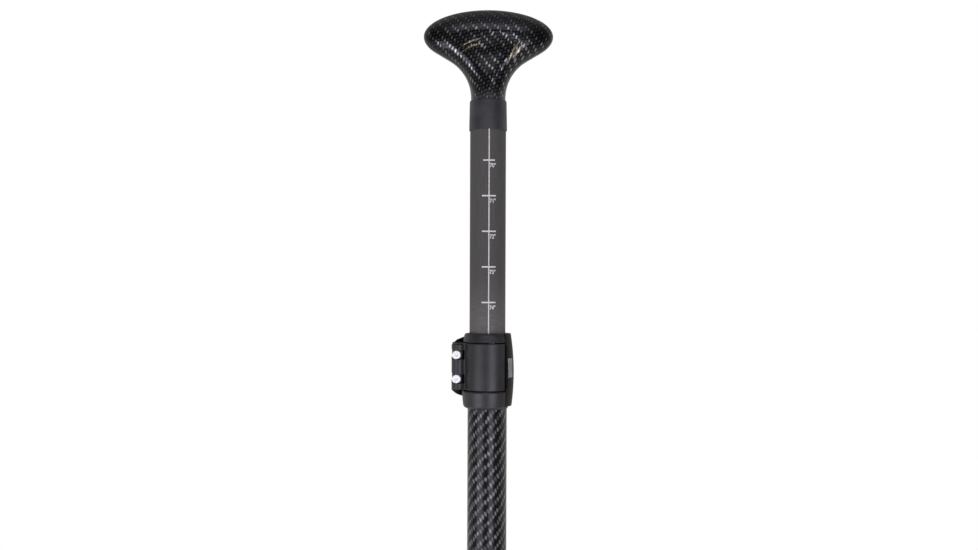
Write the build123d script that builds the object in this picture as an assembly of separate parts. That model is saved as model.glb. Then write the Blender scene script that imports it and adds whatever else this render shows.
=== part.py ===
"""Adjustable single-blade paddle with a palm-grip handle, a sliding extension tube and a lever lock.

The shaft runs along Z with the blade at the bottom and the scale side facing -Y.
The origin is on the shaft axis at the lower rim of the lock, where a rack clip takes the bare shaft.
Azimuths are counted about Z from the front (-Y) towards +X, in degrees. Lengths are in millimetres.
"""
from build123d import *
from math import atan, cos, radians, sin, sqrt
import os

# ---- overall layout along the shaft axis ----
OVERALL_LENGTH = 1901.5     # blade tip to handle top at the length that is set
GRIP_TOP = 287.8
BLADE_TIP = GRIP_TOP - OVERALL_LENGTH

# ---- lower shaft and extension tube ----
SHAFT_RADIUS = 14.2
SHAFT_BORE = 13.05
SHAFT_TOP = 50.6
TUBE_RADIUS = 13.0
TUBE_BORE = 11.8
TUBE_TOP = 212.8
TUBE_BOTTOM = -340.0
SLIDE_DOWN = 144.0          # travel until the sleeve is about to meet the lock
BOND_GAP = 0.02             # glue line between bonded round faces
PLUG_STUB = 11.0            # radius of the end plug's neck, inside the glide ring
RING_HEIGHT = 10.0
SPIGOT_RADIUS = 8.0
SPIGOT_TOP = 253.0

# ---- lever lock ----
LOCK_TOP = 53.9
TOP_RING_BOTTOM = 47.8
BAND_TOP = 47.1
BAND_BOTTOM = 13.4
LOWER_RING_TOP = 12.8
BAND_RADIUS = 17.5
STRAP_RADIUS = 14.9         # outer radius of rings and band where the lever lies over them
RECESS_START = 46.5         # azimuths of the lever recess
RECESS_END = 232.0
LUG_LEFT = -25.4
LUG_DEPTH = 9.0
SPLIT_HALF = 1.5
BOLT_X = -22.2
BOLT_HEIGHTS = (38.8, 21.5)
BOLT_RADIUS = 1.5
HEAD_RADIUS = 3.25
HEAD_THICKNESS = 3.0
POCKET_HALF = 3.4
POCKET_FLOOR = -5.2
POCKET_RIGHT = -16.3
WASHER_THICKNESS = 0.4

# ---- cam lever ----
PIVOT_Y = 14.0
NUT_RADIUS = 2.6
CAM_RADIUS = 4.2
CAM_OFFSET = 0.5
LEVER_INNER = 15.4
LEVER_OUTER = 19.2
LEVER_TOP_RADIUS = 16.8     # outer radii at the lever's upper and lower ends
LEVER_FOOT_RADIUS = 17.5
LEVER_TOP = 53.9
LEVER_BOTTOM = 2.0
LEVER_FRONT = 47.5
HUB_TOP = 49.9              # heights of the hub's shoulders
HUB_BOTTOM = 7.6
NUT_TOP = 45.4
NUT_BOTTOM = 12.2
PAD_START = 51.5
PAD_END = 69.5
PAD_FLOOR = 18.0            # radius of the pad pocket's floor
PAD_TOP = 36.7
PAD_BOTTOM = 22.8

# ---- handle ----
NECK_RADIUS = 12.5
GRIP_HALF_WIDTH = 46.9
GRIP_HALF_DEPTH = 17.0
GRIP_HALF_HEIGHT = 19.1
GRIP_LOWER_HEIGHT = 19.9
GRIP_CENTRE = GRIP_TOP - GRIP_HALF_HEIGHT
OVAL_JOIN = 257.1           # height where the flare's tangent meets the oval
FLARE_START = 223.8
FLARE_RADIUS = 31.3
SHELL_WALL = 1.3
HOLLOW_HALF_SIZES = (30.0, 5.5, 16.0)   # ellipsoid that presses the thumb hollow
HOLLOW_CENTRE = 257.8
HOLLOW_PROUD = 1.5          # its centre lies this far in front of the grip
SLEEVE_TOP = 222.1
SLEEVE_BOTTOM = 200.7
NECK_FIT = 12.6             # sleeve's inner radius on the neck

# ---- blade ----
RAKE = 10.0
BLADE_LENGTH = 430.0
NECK_LENGTH = 42.0
BLADE_HALF_WIDTH = 99.0
SKIN = 0.9
RAIL_WIDTH = 4.0
BLADE_FOOT = BLADE_TIP + BLADE_LENGTH * cos(radians(RAKE))
NECK_TOP = BLADE_FOOT + NECK_LENGTH


def at_azimuth(radius, azimuth, height=0.0):
    """Point at a radius and an azimuth, counted from the front (-Y) towards +X."""
    angle = radians(azimuth)
    return Vector(radius * sin(angle), -radius * cos(angle), height)


def sector(inner, outer, start, end, bottom, top):
    """Upright ring sector between two azimuths."""
    middle = (start + end) / 2
    outline = Wire([
        Line(at_azimuth(inner, start), at_azimuth(outer, start)),
        ThreePointArc(at_azimuth(outer, start), at_azimuth(outer, middle), at_azimuth(outer, end)),
        Line(at_azimuth(outer, end), at_azimuth(inner, end)),
        ThreePointArc(at_azimuth(inner, end), at_azimuth(inner, middle), at_azimuth(inner, start)),
    ])
    return Pos(0, 0, bottom) * extrude(Face(outline), amount=top - bottom, dir=(0, 0, 1))


def tube(outer, inner, bottom, top):
    """Plain round tube on the shaft axis."""
    ring = Circle(outer) - Circle(inner)
    return Pos(0, 0, bottom) * extrude(ring, amount=top - bottom)


def rod(radius, bottom, top, x=0.0, y=0.0):
    """Plain round rod parallel to the shaft."""
    return Pos(x, y, bottom) * extrude(Circle(radius), amount=top - bottom)


def block(x0, x1, y0, y1, z0, z1):
    """Box between two corners."""
    centre = Pos((x0 + x1) / 2, (y0 + y1) / 2, (z0 + z1) / 2)
    return centre * Box(x1 - x0, y1 - y0, z1 - z0)


def turned(*points):
    """Solid of revolution about the shaft axis from (radius, height) points."""
    profile = make_face(Plane.XZ * Polyline(*points, close=True))
    return revolve(profile, Axis.Z)


# ---------------------------------------------------------------- shaft and tube

def lower_shaft():
    """Main carbon tube, slotted at its top end so that the band can squeeze it."""
    slot_width = 1.6
    slot_bottom = BAND_BOTTOM + 4
    body = tube(SHAFT_RADIUS, SHAFT_BORE, NECK_TOP, SHAFT_TOP)
    slot = block(-slot_width / 2, slot_width / 2, -20, 20, slot_bottom, SHAFT_TOP + 1)
    return body - Rot(0, 0, 45) * slot - Rot(0, 0, -45) * slot


def shaft_plug():
    """Foam bung under the tube's lowest travel, which keeps water out of the shaft."""
    top = TUBE_BOTTOM - SLIDE_DOWN - 20
    return rod(SHAFT_BORE - BOND_GAP, top - 30, top)


def extension_tube():
    """Sliding inner tube that carries the handle."""
    return tube(TUBE_RADIUS, TUBE_BORE, TUBE_BOTTOM, TUBE_TOP)


def tube_end_plug():
    """Cap bonded in the tube's lower end, with a flange that keeps the glide ring on."""
    spigot = rod(TUBE_BORE - BOND_GAP, TUBE_BOTTOM, TUBE_BOTTOM + 25)
    stub = rod(PLUG_STUB, TUBE_BOTTOM - RING_HEIGHT, TUBE_BOTTOM)
    flange = rod(TUBE_RADIUS - 0.4, TUBE_BOTTOM - RING_HEIGHT - 3, TUBE_BOTTOM - RING_HEIGHT)
    return chamfer((spigot + stub + flange).faces().sort_by(Axis.Z)[0].edges(), 1.0)


def glide_ring():
    """Low-friction bush that guides the tube's lower end in the shaft."""
    gap = 0.15
    radius = SHAFT_BORE - 0.04
    return tube(radius, PLUG_STUB + 0.08, TUBE_BOTTOM - RING_HEIGHT + gap, TUBE_BOTTOM - gap)


# ---------------------------------------------------------------- lever lock

def lever_recess(bottom, top):
    """Space cut out of the rings so that the lever lies nearly flush."""
    return sector(STRAP_RADIUS, 30, RECESS_START, RECESS_END, bottom - 1, top + 1)


def top_guide_ring():
    """Cap ring bonded on the shaft's end, whose bore guides the extension tube."""
    bore = SHAFT_BORE
    seat = SHAFT_RADIUS + BOND_GAP
    ring = turned(
        (bore, LOCK_TOP - 0.5),
        (bore + 0.5, LOCK_TOP),
        (15.7, LOCK_TOP),
        (16.4, LOCK_TOP - 0.6),
        (16.9, LOCK_TOP - 2.2),
        (17.5, TOP_RING_BOTTOM + 0.4),
        (17.1, TOP_RING_BOTTOM),
        (seat, TOP_RING_BOTTOM),
        (seat, SHAFT_TOP + 0.1),
        (bore, SHAFT_TOP + 0.1),
    )
    return ring - lever_recess(TOP_RING_BOTTOM, LOCK_TOP)


def lower_collar():
    """Lower ring of the lock, bonded round the shaft, tapered towards the bare shaft."""
    seat = SHAFT_RADIUS + BOND_GAP
    ring = turned(
        (seat, 0),
        (14.9, 0),
        (16.4, 0.7),
        (17.4, 1.9),
        (17.8, 5.2),
        (18.3, LOWER_RING_TOP - 0.9),
        (17.9, LOWER_RING_TOP),
        (seat, LOWER_RING_TOP),
    )
    return ring - lever_recess(0, LOWER_RING_TOP)


def front_lug():
    """Front lug of the band, with a rounded face that the bolt heads sit in."""
    shoulder = -5.0
    root = -12.5
    valley = (-17.0, -7.2)
    outline = Wire([
        Line((LUG_LEFT, -SPLIT_HALF), (LUG_LEFT, shoulder)),
        ThreePointArc((LUG_LEFT, shoulder), (BOLT_X - 0.1, -LUG_DEPTH), valley),
        Line(valley, (root, valley[1])),
        Line((root, valley[1]), (root, -SPLIT_HALF)),
        Line((root, -SPLIT_HALF), (LUG_LEFT, -SPLIT_HALF)),
    ])
    low = BAND_BOTTOM + 0.4
    lug = Pos(0, 0, low) * extrude(Face(outline), amount=BAND_TOP - 0.3 - low, dir=(0, 0, 1))
    return chamfer(lug.faces().sort_by(Axis.X)[0].edges().filter_by(Axis.Y), 0.8)


def clamp_band():
    """Split band: thick panel at the front, thin strap under the lever, two lugs at the left."""
    inner = SHAFT_RADIUS + 0.05
    panel_left = -84
    strap_end = 264
    panel = sector(inner, BAND_RADIUS, panel_left, RECESS_START, BAND_BOTTOM, BAND_TOP)
    panel = chamfer(panel.faces().filter_by(GeomType.CYLINDER).sort_by(SortBy.AREA)[-1].edges(), 0.35)
    strap = sector(inner, STRAP_RADIUS, RECESS_START - 5, strap_end, BAND_BOTTOM, BAND_TOP)
    front = front_lug()
    back = block(LUG_LEFT, -12.4, SPLIT_HALF, LUG_DEPTH - 0.5, BAND_BOTTOM + 0.8, BAND_TOP)
    back = fillet(back.edges().filter_by(Axis.Z).group_by(Axis.X)[0].sort_by(Axis.Y)[0], 1.0)
    body = panel + strap + front + back
    body -= rod(inner, BAND_BOTTOM - 1, BAND_TOP + 1)
    body -= block(-30, 0, -SPLIT_HALF, SPLIT_HALF, BAND_BOTTOM - 1, BAND_TOP + 1)
    for height in BOLT_HEIGHTS:
        low = height - POCKET_HALF
        high = height + POCKET_HALF
        body -= block(-30, POCKET_RIGHT, -LUG_DEPTH - 1, POCKET_FLOOR, low, high)
        body -= block(POCKET_RIGHT - 2.2, POCKET_RIGHT, -LUG_DEPTH - 1, 0, low, high)
        body -= along_y(BOLT_RADIUS + 0.15, height, -LUG_DEPTH, LUG_DEPTH)
    return body


def along_y(radius, height, front, back):
    """Rod along Y on the bolt line at a height."""
    lying = Rot(-90, 0, 0) * extrude(Circle(radius), amount=back - front)
    return Pos(BOLT_X, front, height) * lying


def clamp_bolts():
    """Two polished bolts whose heads sit in the front lug's pockets."""
    head_back = POCKET_FLOOR - WASHER_THICKNESS
    head_front = head_back - HEAD_THICKNESS
    bolts = []
    for height in BOLT_HEIGHTS:
        head = along_y(HEAD_RADIUS, height, head_front, head_back)
        head = fillet(head.faces().sort_by(Axis.Y)[0].edges(), 0.7)
        socket = extrude(RegularPolygon(1.25, 6), amount=1.2)
        head -= Pos(BOLT_X, head_front, height) * Rot(-90, 0, 0) * socket
        shank = along_y(BOLT_RADIUS, height, head_back, PIVOT_Y + NUT_RADIUS - 0.4)
        bolts.append(head + shank)
    return Compound(children=bolts)


def bolt_washers():
    """Thin steel washer under each bolt head."""
    washers = []
    for height in BOLT_HEIGHTS:
        disc = along_y(HEAD_RADIUS, height, POCKET_FLOOR - WASHER_THICKNESS, POCKET_FLOOR)
        washers.append(disc - along_y(BOLT_RADIUS + 0.05, height, -LUG_DEPTH, 0))
    return Compound(children=washers)


def barrel_nut():
    """Long cross-drilled pin that the bolts screw into and the lever turns on."""
    pin = rod(NUT_RADIUS, NUT_BOTTOM, NUT_TOP, BOLT_X, PIVOT_Y)
    pin = chamfer(pin.edges().filter_by(GeomType.CIRCLE), 0.3)
    for height in BOLT_HEIGHTS:
        pin -= along_y(BOLT_RADIUS, height, PIVOT_Y - 5, PIVOT_Y + NUT_RADIUS - 0.4)
    return pin


def cam_shoe():
    """Hard saddle between the cam and the back lug, with a hollow that follows the cam's largest reach."""
    reach = CAM_RADIUS + CAM_OFFSET + 0.05
    low = NUT_BOTTOM + 2
    saddle = block(LUG_LEFT + 0.2, -18.4, LUG_DEPTH - 0.45, PIVOT_Y - 3.6, low, NUT_TOP - 1)
    saddle -= rod(reach, 0, LOCK_TOP, BOLT_X, PIVOT_Y)
    for height in BOLT_HEIGHTS:
        saddle -= along_y(BOLT_RADIUS + 0.15, height, 0, PIVOT_Y)
    return saddle


def lever_bulge():
    """Face in the XZ plane outside the lever's convex outer side, for trimming it."""
    far = LEVER_OUTER + 12
    low = LEVER_BOTTOM - 1
    high = LEVER_TOP + 1
    middle = (low + high) / 2
    return make_face(Plane.XZ * (
        ThreePointArc((LEVER_FOOT_RADIUS, low), (LEVER_OUTER, middle), (LEVER_TOP_RADIUS, high))
        + Line((LEVER_TOP_RADIUS, high), (far, high))
        + Line((far, high), (far, low))
        + Line((far, low), (LEVER_FOOT_RADIUS, low))
    ))


def lever_side_view():
    """Outline of the lever seen from the front: full height at the right, rounded off at the hub."""
    step = -8.0
    shoulder = -19.0
    corner = -22.8
    left = BOLT_X - CAM_RADIUS - 1
    upper = (left, HUB_TOP - 6)
    lower = (left, HUB_BOTTOM + 5)
    shape = make_face(Polyline(
        (30, LEVER_BOTTOM), (30, LEVER_TOP), (step, LEVER_TOP), (shoulder, HUB_TOP), (corner, HUB_TOP - 1.6),
        upper, lower, (corner, HUB_BOTTOM + 1.5), (shoulder, HUB_BOTTOM), (step, LEVER_BOTTOM), close=True,
    ))
    return Plane.XZ * extrude(shape, amount=40, both=True)


def cam_lever():
    """Curved lever that wraps round the back and right of the lock, with its cam hub at the left."""
    height = LEVER_TOP - LEVER_BOTTOM
    arc = sector(LEVER_INNER, LEVER_OUTER, LEVER_FRONT, 180, LEVER_BOTTOM, LEVER_TOP)
    arm_outline = make_face(Polyline(
        (0.02, LEVER_INNER), (0.02, LEVER_OUTER), (BOLT_X, PIVOT_Y + CAM_RADIUS - CAM_OFFSET),
        (BOLT_X + 3.4, PIVOT_Y - 3), close=True,
    ))
    arm = Pos(0, 0, LEVER_BOTTOM) * extrude(arm_outline, amount=height, dir=(0, 0, 1))
    hub = rod(CAM_RADIUS, LEVER_BOTTOM, LEVER_TOP, BOLT_X, PIVOT_Y - CAM_OFFSET)
    body = (arc + arm + hub) & lever_side_view()
    body -= Rot(0, 0, LEVER_FRONT - 92) * revolve(lever_bulge(), Axis.Z, 182 - LEVER_FRONT)
    body -= Rot(0, 0, 90) * extrude(lever_bulge(), amount=30, dir=(0, 1, 0))
    body -= rod(NUT_RADIUS + 0.05, 0, LOCK_TOP, BOLT_X, PIVOT_Y)
    for bolt_height in BOLT_HEIGHTS:
        body -= block(-30, BOLT_X + 4.6, 0, 30, bolt_height - 2.6, bolt_height + 2.6)
    body -= sector(LEVER_INNER - 1, LEVER_OUTER + 1, 40, LEVER_FRONT + 3, BAND_BOTTOM + 2, BAND_TOP - 1)
    body -= sector(PAD_FLOOR, LEVER_OUTER + 1, PAD_START, PAD_END, PAD_BOTTOM, PAD_TOP)
    return body


def lever_pad():
    """Grey thumb pad let into the lever near its free end, a hair proud of the convex side."""
    gap = 0.02
    edge = 0.1
    top = PAD_TOP - gap
    pad = sector(PAD_FLOOR + gap, LEVER_OUTER + edge, PAD_START + edge, PAD_END - edge, PAD_BOTTOM + gap, top)
    return fillet(pad.faces().filter_by(GeomType.CYLINDER).sort_by(SortBy.AREA)[-1].edges(), 0.25)


# ---------------------------------------------------------------- handle

def oval_half_width(height):
    """Half width of the grip's oval, a little deeper below its widest line than above it."""
    reach = GRIP_HALF_HEIGHT if height > GRIP_CENTRE else GRIP_LOWER_HEIGHT
    return GRIP_HALF_WIDTH * sqrt(max(0.0, 1 - ((height - GRIP_CENTRE) / reach) ** 2))


def grip_half_width(height):
    """Half width of the handle: round neck, concave flare, its tangent line, then the oval."""
    if height >= OVAL_JOIN:
        return oval_half_width(height)
    join_half = oval_half_width(OVAL_JOIN)
    fall = (GRIP_CENTRE - OVAL_JOIN) / GRIP_LOWER_HEIGHT
    slope = GRIP_HALF_WIDTH / GRIP_LOWER_HEIGHT * fall / sqrt(1 - fall ** 2)
    angle = atan(slope)
    arc_half = NECK_RADIUS + FLARE_RADIUS * (1 - cos(angle))
    arc_top = OVAL_JOIN - (join_half - arc_half) / slope
    arc_start = arc_top - FLARE_RADIUS * sin(angle)
    if height >= arc_top:
        return join_half - slope * (OVAL_JOIN - height)
    if height <= arc_start:
        return NECK_RADIUS
    return NECK_RADIUS + FLARE_RADIUS - sqrt(FLARE_RADIUS ** 2 - (height - arc_start) ** 2)


def grip_half_depth(height):
    """Half depth of the handle, swelling slowly from the neck to the grip."""
    if height <= FLARE_START:
        return NECK_RADIUS
    share = min(1.0, (height - FLARE_START) / (GRIP_CENTRE - FLARE_START))
    return NECK_RADIUS + (GRIP_HALF_DEPTH - NECK_RADIUS) * share ** 2 * (3 - 2 * share)


def grip_solid(inset):
    """Handle's outer form, or the form of its core when it is inset."""
    neck = (TUBE_TOP, TUBE_TOP + 4, TUBE_TOP + 8)
    rises = (0, 5, 10, 15, 19.5, 23.5, 27.5, 31, 34.5, 38, 41.5)
    heights = neck + tuple(FLARE_START + rise for rise in rises)
    sections = []
    for height in heights:
        half = (grip_half_width(height) - inset, grip_half_depth(height) - inset)
        sections.append(Pos(0, 0, height) * Ellipse(*half))
    middle = (GRIP_HALF_WIDTH - inset, GRIP_HALF_DEPTH - inset)
    sections.append(Pos(0, 0, GRIP_CENTRE) * Ellipse(*middle))
    lower = loft(sections)
    ball = scale(Sphere(1), by=(*middle, GRIP_HALF_HEIGHT - inset))
    upper = Pos(0, 0, GRIP_CENTRE) * (ball & block(-100, 100, -100, 100, 0, 100))
    half_sizes = tuple(size + inset for size in HOLLOW_HALF_SIZES)
    hollow = Pos(0, -GRIP_HALF_DEPTH - HOLLOW_PROUD, HOLLOW_CENTRE) * scale(Sphere(1), by=half_sizes)
    return lower + upper - hollow


def handle_spigot():
    """Tenon that joins the handle to the extension tube."""
    lower = rod(TUBE_BORE - BOND_GAP, TUBE_TOP - 55, TUBE_TOP)
    upper = rod(SPIGOT_RADIUS, TUBE_TOP, SPIGOT_TOP)
    return lower + upper


def handle_halves():
    """Front and back carbon shells of the handle."""
    wall = grip_solid(0) - grip_solid(SHELL_WALL)
    wall -= rod(NECK_RADIUS - SHELL_WALL, TUBE_TOP - 1, TUBE_TOP + 0.5)
    front = wall & block(-60, 60, -40, 0, TUBE_TOP, GRIP_TOP + 1)
    back = wall & block(-60, 60, 0, 40, TUBE_TOP, GRIP_TOP + 1)
    return front, back


def handle_foam_core():
    """Rigid foam that fills the handle round the tenon."""
    return grip_solid(SHELL_WALL) - rod(SPIGOT_RADIUS, TUBE_TOP - 1, SPIGOT_TOP)


def handle_sleeve():
    """Thin rubber sleeve shrunk over the joint between the tube and the handle's neck."""
    return turned(
        (TUBE_RADIUS + BOND_GAP, SLEEVE_BOTTOM),
        (13.7, SLEEVE_BOTTOM),
        (13.7, SLEEVE_BOTTOM + 2),
        (13.35, SLEEVE_TOP - 0.8),
        (13.0, SLEEVE_TOP),
        (NECK_FIT, SLEEVE_TOP),
        (NECK_FIT, TUBE_TOP + 0.3),
        (TUBE_RADIUS + BOND_GAP, TUBE_TOP),
    )


# ---------------------------------------------------------------- blade

def blade_outline(inset):
    """Tear-drop outline in the blade's own plane, with the neck up and the tip at -BLADE_LENGTH."""
    shoulder = 12.0
    widest = (BLADE_HALF_WIDTH, -275)
    below = ((88, -370), (50, -418), (0, -BLADE_LENGTH))
    right = Spline((shoulder, 0), (34, -60), (76, -150), widest, *below, tangents=((0.25, -1), (-1, 0)))
    if inset:
        steps = 16
        moved = [(shoulder - inset, 0)]
        for step in range(1, steps + 1):
            along = right % (step / steps)
            moved.append(right @ (step / steps) + inset * Vector(along.Y, -along.X))
        right = Spline(*moved, tangents=((0.25, -1), (-1, 0)))
    start = right @ 0
    return make_face(right + mirror(right, Plane.YZ) + Line((-start.X, 0), (start.X, 0)))


def blade_slab(skin):
    """Long lens-shaped slab: thick along the middle, thin towards the rails and the tip."""
    stations = ((10, 4.8), (-120, 4.8), (-260, 4.3), (-BLADE_LENGTH - 10, 3.2))
    far = BLADE_HALF_WIDTH + 20
    rim = 2.0 - skin
    sections = []
    for height, crown in stations:
        top = crown - skin
        outline = (
            ThreePointArc((-far, rim), (0, top), (far, rim))
            + Line((far, rim), (far, -rim))
            + ThreePointArc((far, -rim), (0, -top), (-far, -rim))
            + Line((-far, -rim), (-far, rim))
        )
        sections.append(Pos(0, 0, height) * make_face(outline))
    return loft(sections)


def blade_spine(skin):
    """Tapered spine that carries the shaft's round section down into the flat of the blade."""
    upright = Rot(-RAKE, 0, 0)
    return loft([
        upright * Pos(0, 0, NECK_LENGTH) * Circle(SHAFT_RADIUS - skin),
        upright * Pos(0, 0, NECK_LENGTH / 2) * Circle(SHAFT_RADIUS - skin),
        Rot(-RAKE / 2, 0, 0) * Circle(SHAFT_RADIUS - 0.2 - skin),
        Pos(0, 0, -60) * Ellipse(13.2 - skin, 10.8 - skin),
        Pos(0, 0, -130) * Ellipse(10.5 - skin, 7.4 - skin),
        Pos(0, 0, -215) * Ellipse(6.0 - skin, 4.0 - skin),
    ])


def outline_prism(inset):
    """Upright prism over the blade's outline, thick enough to cut the slab."""
    return extrude(Plane.XZ * blade_outline(inset), amount=30, both=True)


def place_blade(shape):
    """Rake the blade about the foot of its neck and set its tip at the right height."""
    return Pos(0, 0, BLADE_FOOT) * Rot(RAKE, 0, 0) * shape


def blade_skins():
    """Front and back carbon skins, joined along the blade's middle plane."""
    panel = outline_prism(RAIL_WIDTH)
    outer = (blade_slab(0) & panel) + blade_spine(0)
    inner = (blade_slab(SKIN) & panel) + blade_spine(SKIN)
    wall = outer - inner
    front = wall & block(-200, 200, -60, 0, -500, 100)
    back = wall & block(-200, 200, 0, 60, -500, 100)
    return place_blade(front), place_blade(back)


def blade_foam_core():
    """Flat foam core on both sides of the spine."""
    return place_blade((blade_slab(SKIN) & outline_prism(RAIL_WIDTH)) - blade_spine(SKIN))


def blade_tenon():
    """Tapered tenon inside the spine, which runs up into the shaft's lower end."""
    return place_blade(blade_spine(SKIN)) + rod(SHAFT_BORE - BOND_GAP, NECK_TOP, NECK_TOP + 60)


def blade_edge_rail():
    """Tough plastic rail round the blade's rim."""
    band = outline_prism(0) - outline_prism(RAIL_WIDTH)
    return place_blade((blade_slab(0) & band) - blade_spine(0))


def main():
    """Build every sub-part and write it to its own STEP file."""
    os.makedirs("parts", exist_ok=True)
    handle_front, handle_back = handle_halves()
    blade_front, blade_back = blade_skins()
    sub_parts = {
        "lower_shaft": lower_shaft(),
        "shaft_plug": shaft_plug(),
        "extension_tube": extension_tube(),
        "tube_end_plug": tube_end_plug(),
        "glide_ring": glide_ring(),
        "top_guide_ring": top_guide_ring(),
        "lower_collar": lower_collar(),
        "clamp_band": clamp_band(),
        "clamp_bolts": clamp_bolts(),
        "bolt_washers": bolt_washers(),
        "barrel_nut": barrel_nut(),
        "cam_shoe": cam_shoe(),
        "cam_lever": cam_lever(),
        "lever_pad": lever_pad(),
        "handle_front_shell": handle_front,
        "handle_back_shell": handle_back,
        "handle_foam_core": handle_foam_core(),
        "handle_spigot": handle_spigot(),
        "handle_sleeve": handle_sleeve(),
        "blade_front_skin": blade_front,
        "blade_back_skin": blade_back,
        "blade_foam_core": blade_foam_core(),
        "blade_tenon": blade_tenon(),
        "blade_edge_rail": blade_edge_rail(),
    }
    for name, shape in sub_parts.items():
        export_step(shape, f"parts/{name}.step")


main()
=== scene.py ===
import math
from collections import namedtuple

import bmesh
import bpy
import numpy as np
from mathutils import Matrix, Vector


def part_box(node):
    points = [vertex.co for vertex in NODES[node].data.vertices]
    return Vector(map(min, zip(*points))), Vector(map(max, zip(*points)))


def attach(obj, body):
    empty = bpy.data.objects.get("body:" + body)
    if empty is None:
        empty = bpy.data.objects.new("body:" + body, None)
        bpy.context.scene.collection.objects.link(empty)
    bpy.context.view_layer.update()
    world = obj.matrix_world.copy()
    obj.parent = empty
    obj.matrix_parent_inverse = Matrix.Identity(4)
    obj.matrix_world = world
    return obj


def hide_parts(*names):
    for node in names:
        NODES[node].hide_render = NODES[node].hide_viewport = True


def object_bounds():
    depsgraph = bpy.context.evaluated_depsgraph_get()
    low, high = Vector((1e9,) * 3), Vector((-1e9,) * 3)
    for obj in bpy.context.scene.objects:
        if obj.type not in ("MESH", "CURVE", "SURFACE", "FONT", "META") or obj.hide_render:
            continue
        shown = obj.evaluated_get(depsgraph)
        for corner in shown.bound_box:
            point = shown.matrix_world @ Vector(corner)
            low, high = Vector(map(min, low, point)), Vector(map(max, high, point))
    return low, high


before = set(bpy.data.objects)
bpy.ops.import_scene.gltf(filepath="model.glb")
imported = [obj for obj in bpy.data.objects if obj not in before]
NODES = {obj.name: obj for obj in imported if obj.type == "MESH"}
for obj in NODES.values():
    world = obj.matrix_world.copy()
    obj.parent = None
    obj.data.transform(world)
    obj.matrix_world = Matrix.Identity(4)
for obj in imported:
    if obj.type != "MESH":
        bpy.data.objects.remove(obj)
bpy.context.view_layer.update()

# The object's own frame: metres, +Z up the shaft, the scale side facing -Y,
# the origin on the shaft axis at the lock's lower rim.
MM = 0.001

# ------------------------------------------------------------------ camera and light

CAMERA_DISTANCE = 0.781
CAMERA_HEIGHT = 0.0962
CAMERA_SIDE = 0.0010
FOCAL_PIXELS = 1077.0
FRAME_WIDTH = 978.0
SENSOR_WIDTH = 36.0
ROLL = math.radians(0.2)
CLIP_START = 0.01

# Brightness of the studio's walls, by the side of the object that they face,
# and the turns from the front between which it changes.
ROOM_FRONT = 0.08
ROOM_SIDE = 0.75
ROOM_BACK = 0.40
FRONT_TO_SIDE = (math.radians(65), math.radians(105))
SIDE_TO_BACK = (math.radians(130), math.radians(170))
# Below these heights of a direction the walls reach further round to the front.
LOW_REACH = math.radians(30)
LOW_HEIGHTS = (-0.6, -0.2)
# The roof has this share of the walls' brightness.
ROOF_SHARE = 0.5
ROOF_HEIGHTS = (0.25, 0.6)
ROOM_TINT = (1.0, 0.95, 0.92)
BACKDROP = (1.0, 1.0, 1.0, 1)

LIGHT_TINT = (1.0, 0.98, 1.09)
BODY_AIM = (0, 0, -0.10)
HANDLE_AIM = (0, 0, 0.27)
SOFT_BOXES = (
    # name, place, target, width and height, power
    ("left_box", (-0.95, -1.05, -0.45), BODY_AIM, (0.95, 0.6), 8.4),
    ("right_box", (0.54, -1.29, -0.25), BODY_AIM, (0.65, 0.6), 6.6),
    ("front_box", (0.0, -1.25, 0.99), HANDLE_AIM, (1.6, 0.8), 6.0),
)


def add_camera():
    """Level camera looking along +Y at the upper part of the paddle."""
    data = bpy.data.cameras.new("camera")
    data.sensor_width = SENSOR_WIDTH
    data.lens = SENSOR_WIDTH * FOCAL_PIXELS / FRAME_WIDTH
    data.clip_start = CLIP_START
    camera = bpy.data.objects.new("camera", data)
    camera.location = (CAMERA_SIDE, -CAMERA_DISTANCE, CAMERA_HEIGHT)
    camera.rotation_euler = (math.radians(90), -ROLL, 0)
    bpy.context.scene.collection.objects.link(camera)
    bpy.context.scene.camera = camera


def add_area(name, place, target, size, power):
    """Rectangular soft box at a place, aimed at a target."""
    data = bpy.data.lights.new(name, "AREA")
    data.shape = "RECTANGLE"
    data.size, data.size_y = size
    data.energy = power
    data.color = LIGHT_TINT
    light = bpy.data.objects.new(name, data)
    light.location = place
    aim = np.array(target, float) - np.array(place, float)
    flat = math.hypot(aim[0], aim[1])
    light.rotation_euler = (math.atan2(flat, -aim[2]), 0, math.atan2(-aim[0], aim[1]))
    bpy.context.scene.collection.objects.link(light)


def room_brightness(graph):
    """Brightness of the studio in each direction: dark front, pale walls at the sides and behind."""
    x, y, z = graph.split(graph.add("ShaderNodeTexCoord").outputs["Generated"])[:3]
    turn = graph.math("ARCTAN2", graph.math("ABSOLUTE", x), graph.math("MULTIPLY", y, -1.0))
    turn = graph.math("ADD", turn, graph.ramp(z, LOW_REACH, 0.0, *LOW_HEIGHTS))
    walls = graph.ramp(turn, ROOM_FRONT, ROOM_SIDE, *FRONT_TO_SIDE)
    back = graph.ramp(turn, 1.0, ROOM_BACK / ROOM_SIDE, *SIDE_TO_BACK)
    roof = graph.ramp(z, 1.0, ROOF_SHARE, *ROOF_HEIGHTS)
    return graph.math("MULTIPLY", graph.math("MULTIPLY", walls, back), roof)


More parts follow.
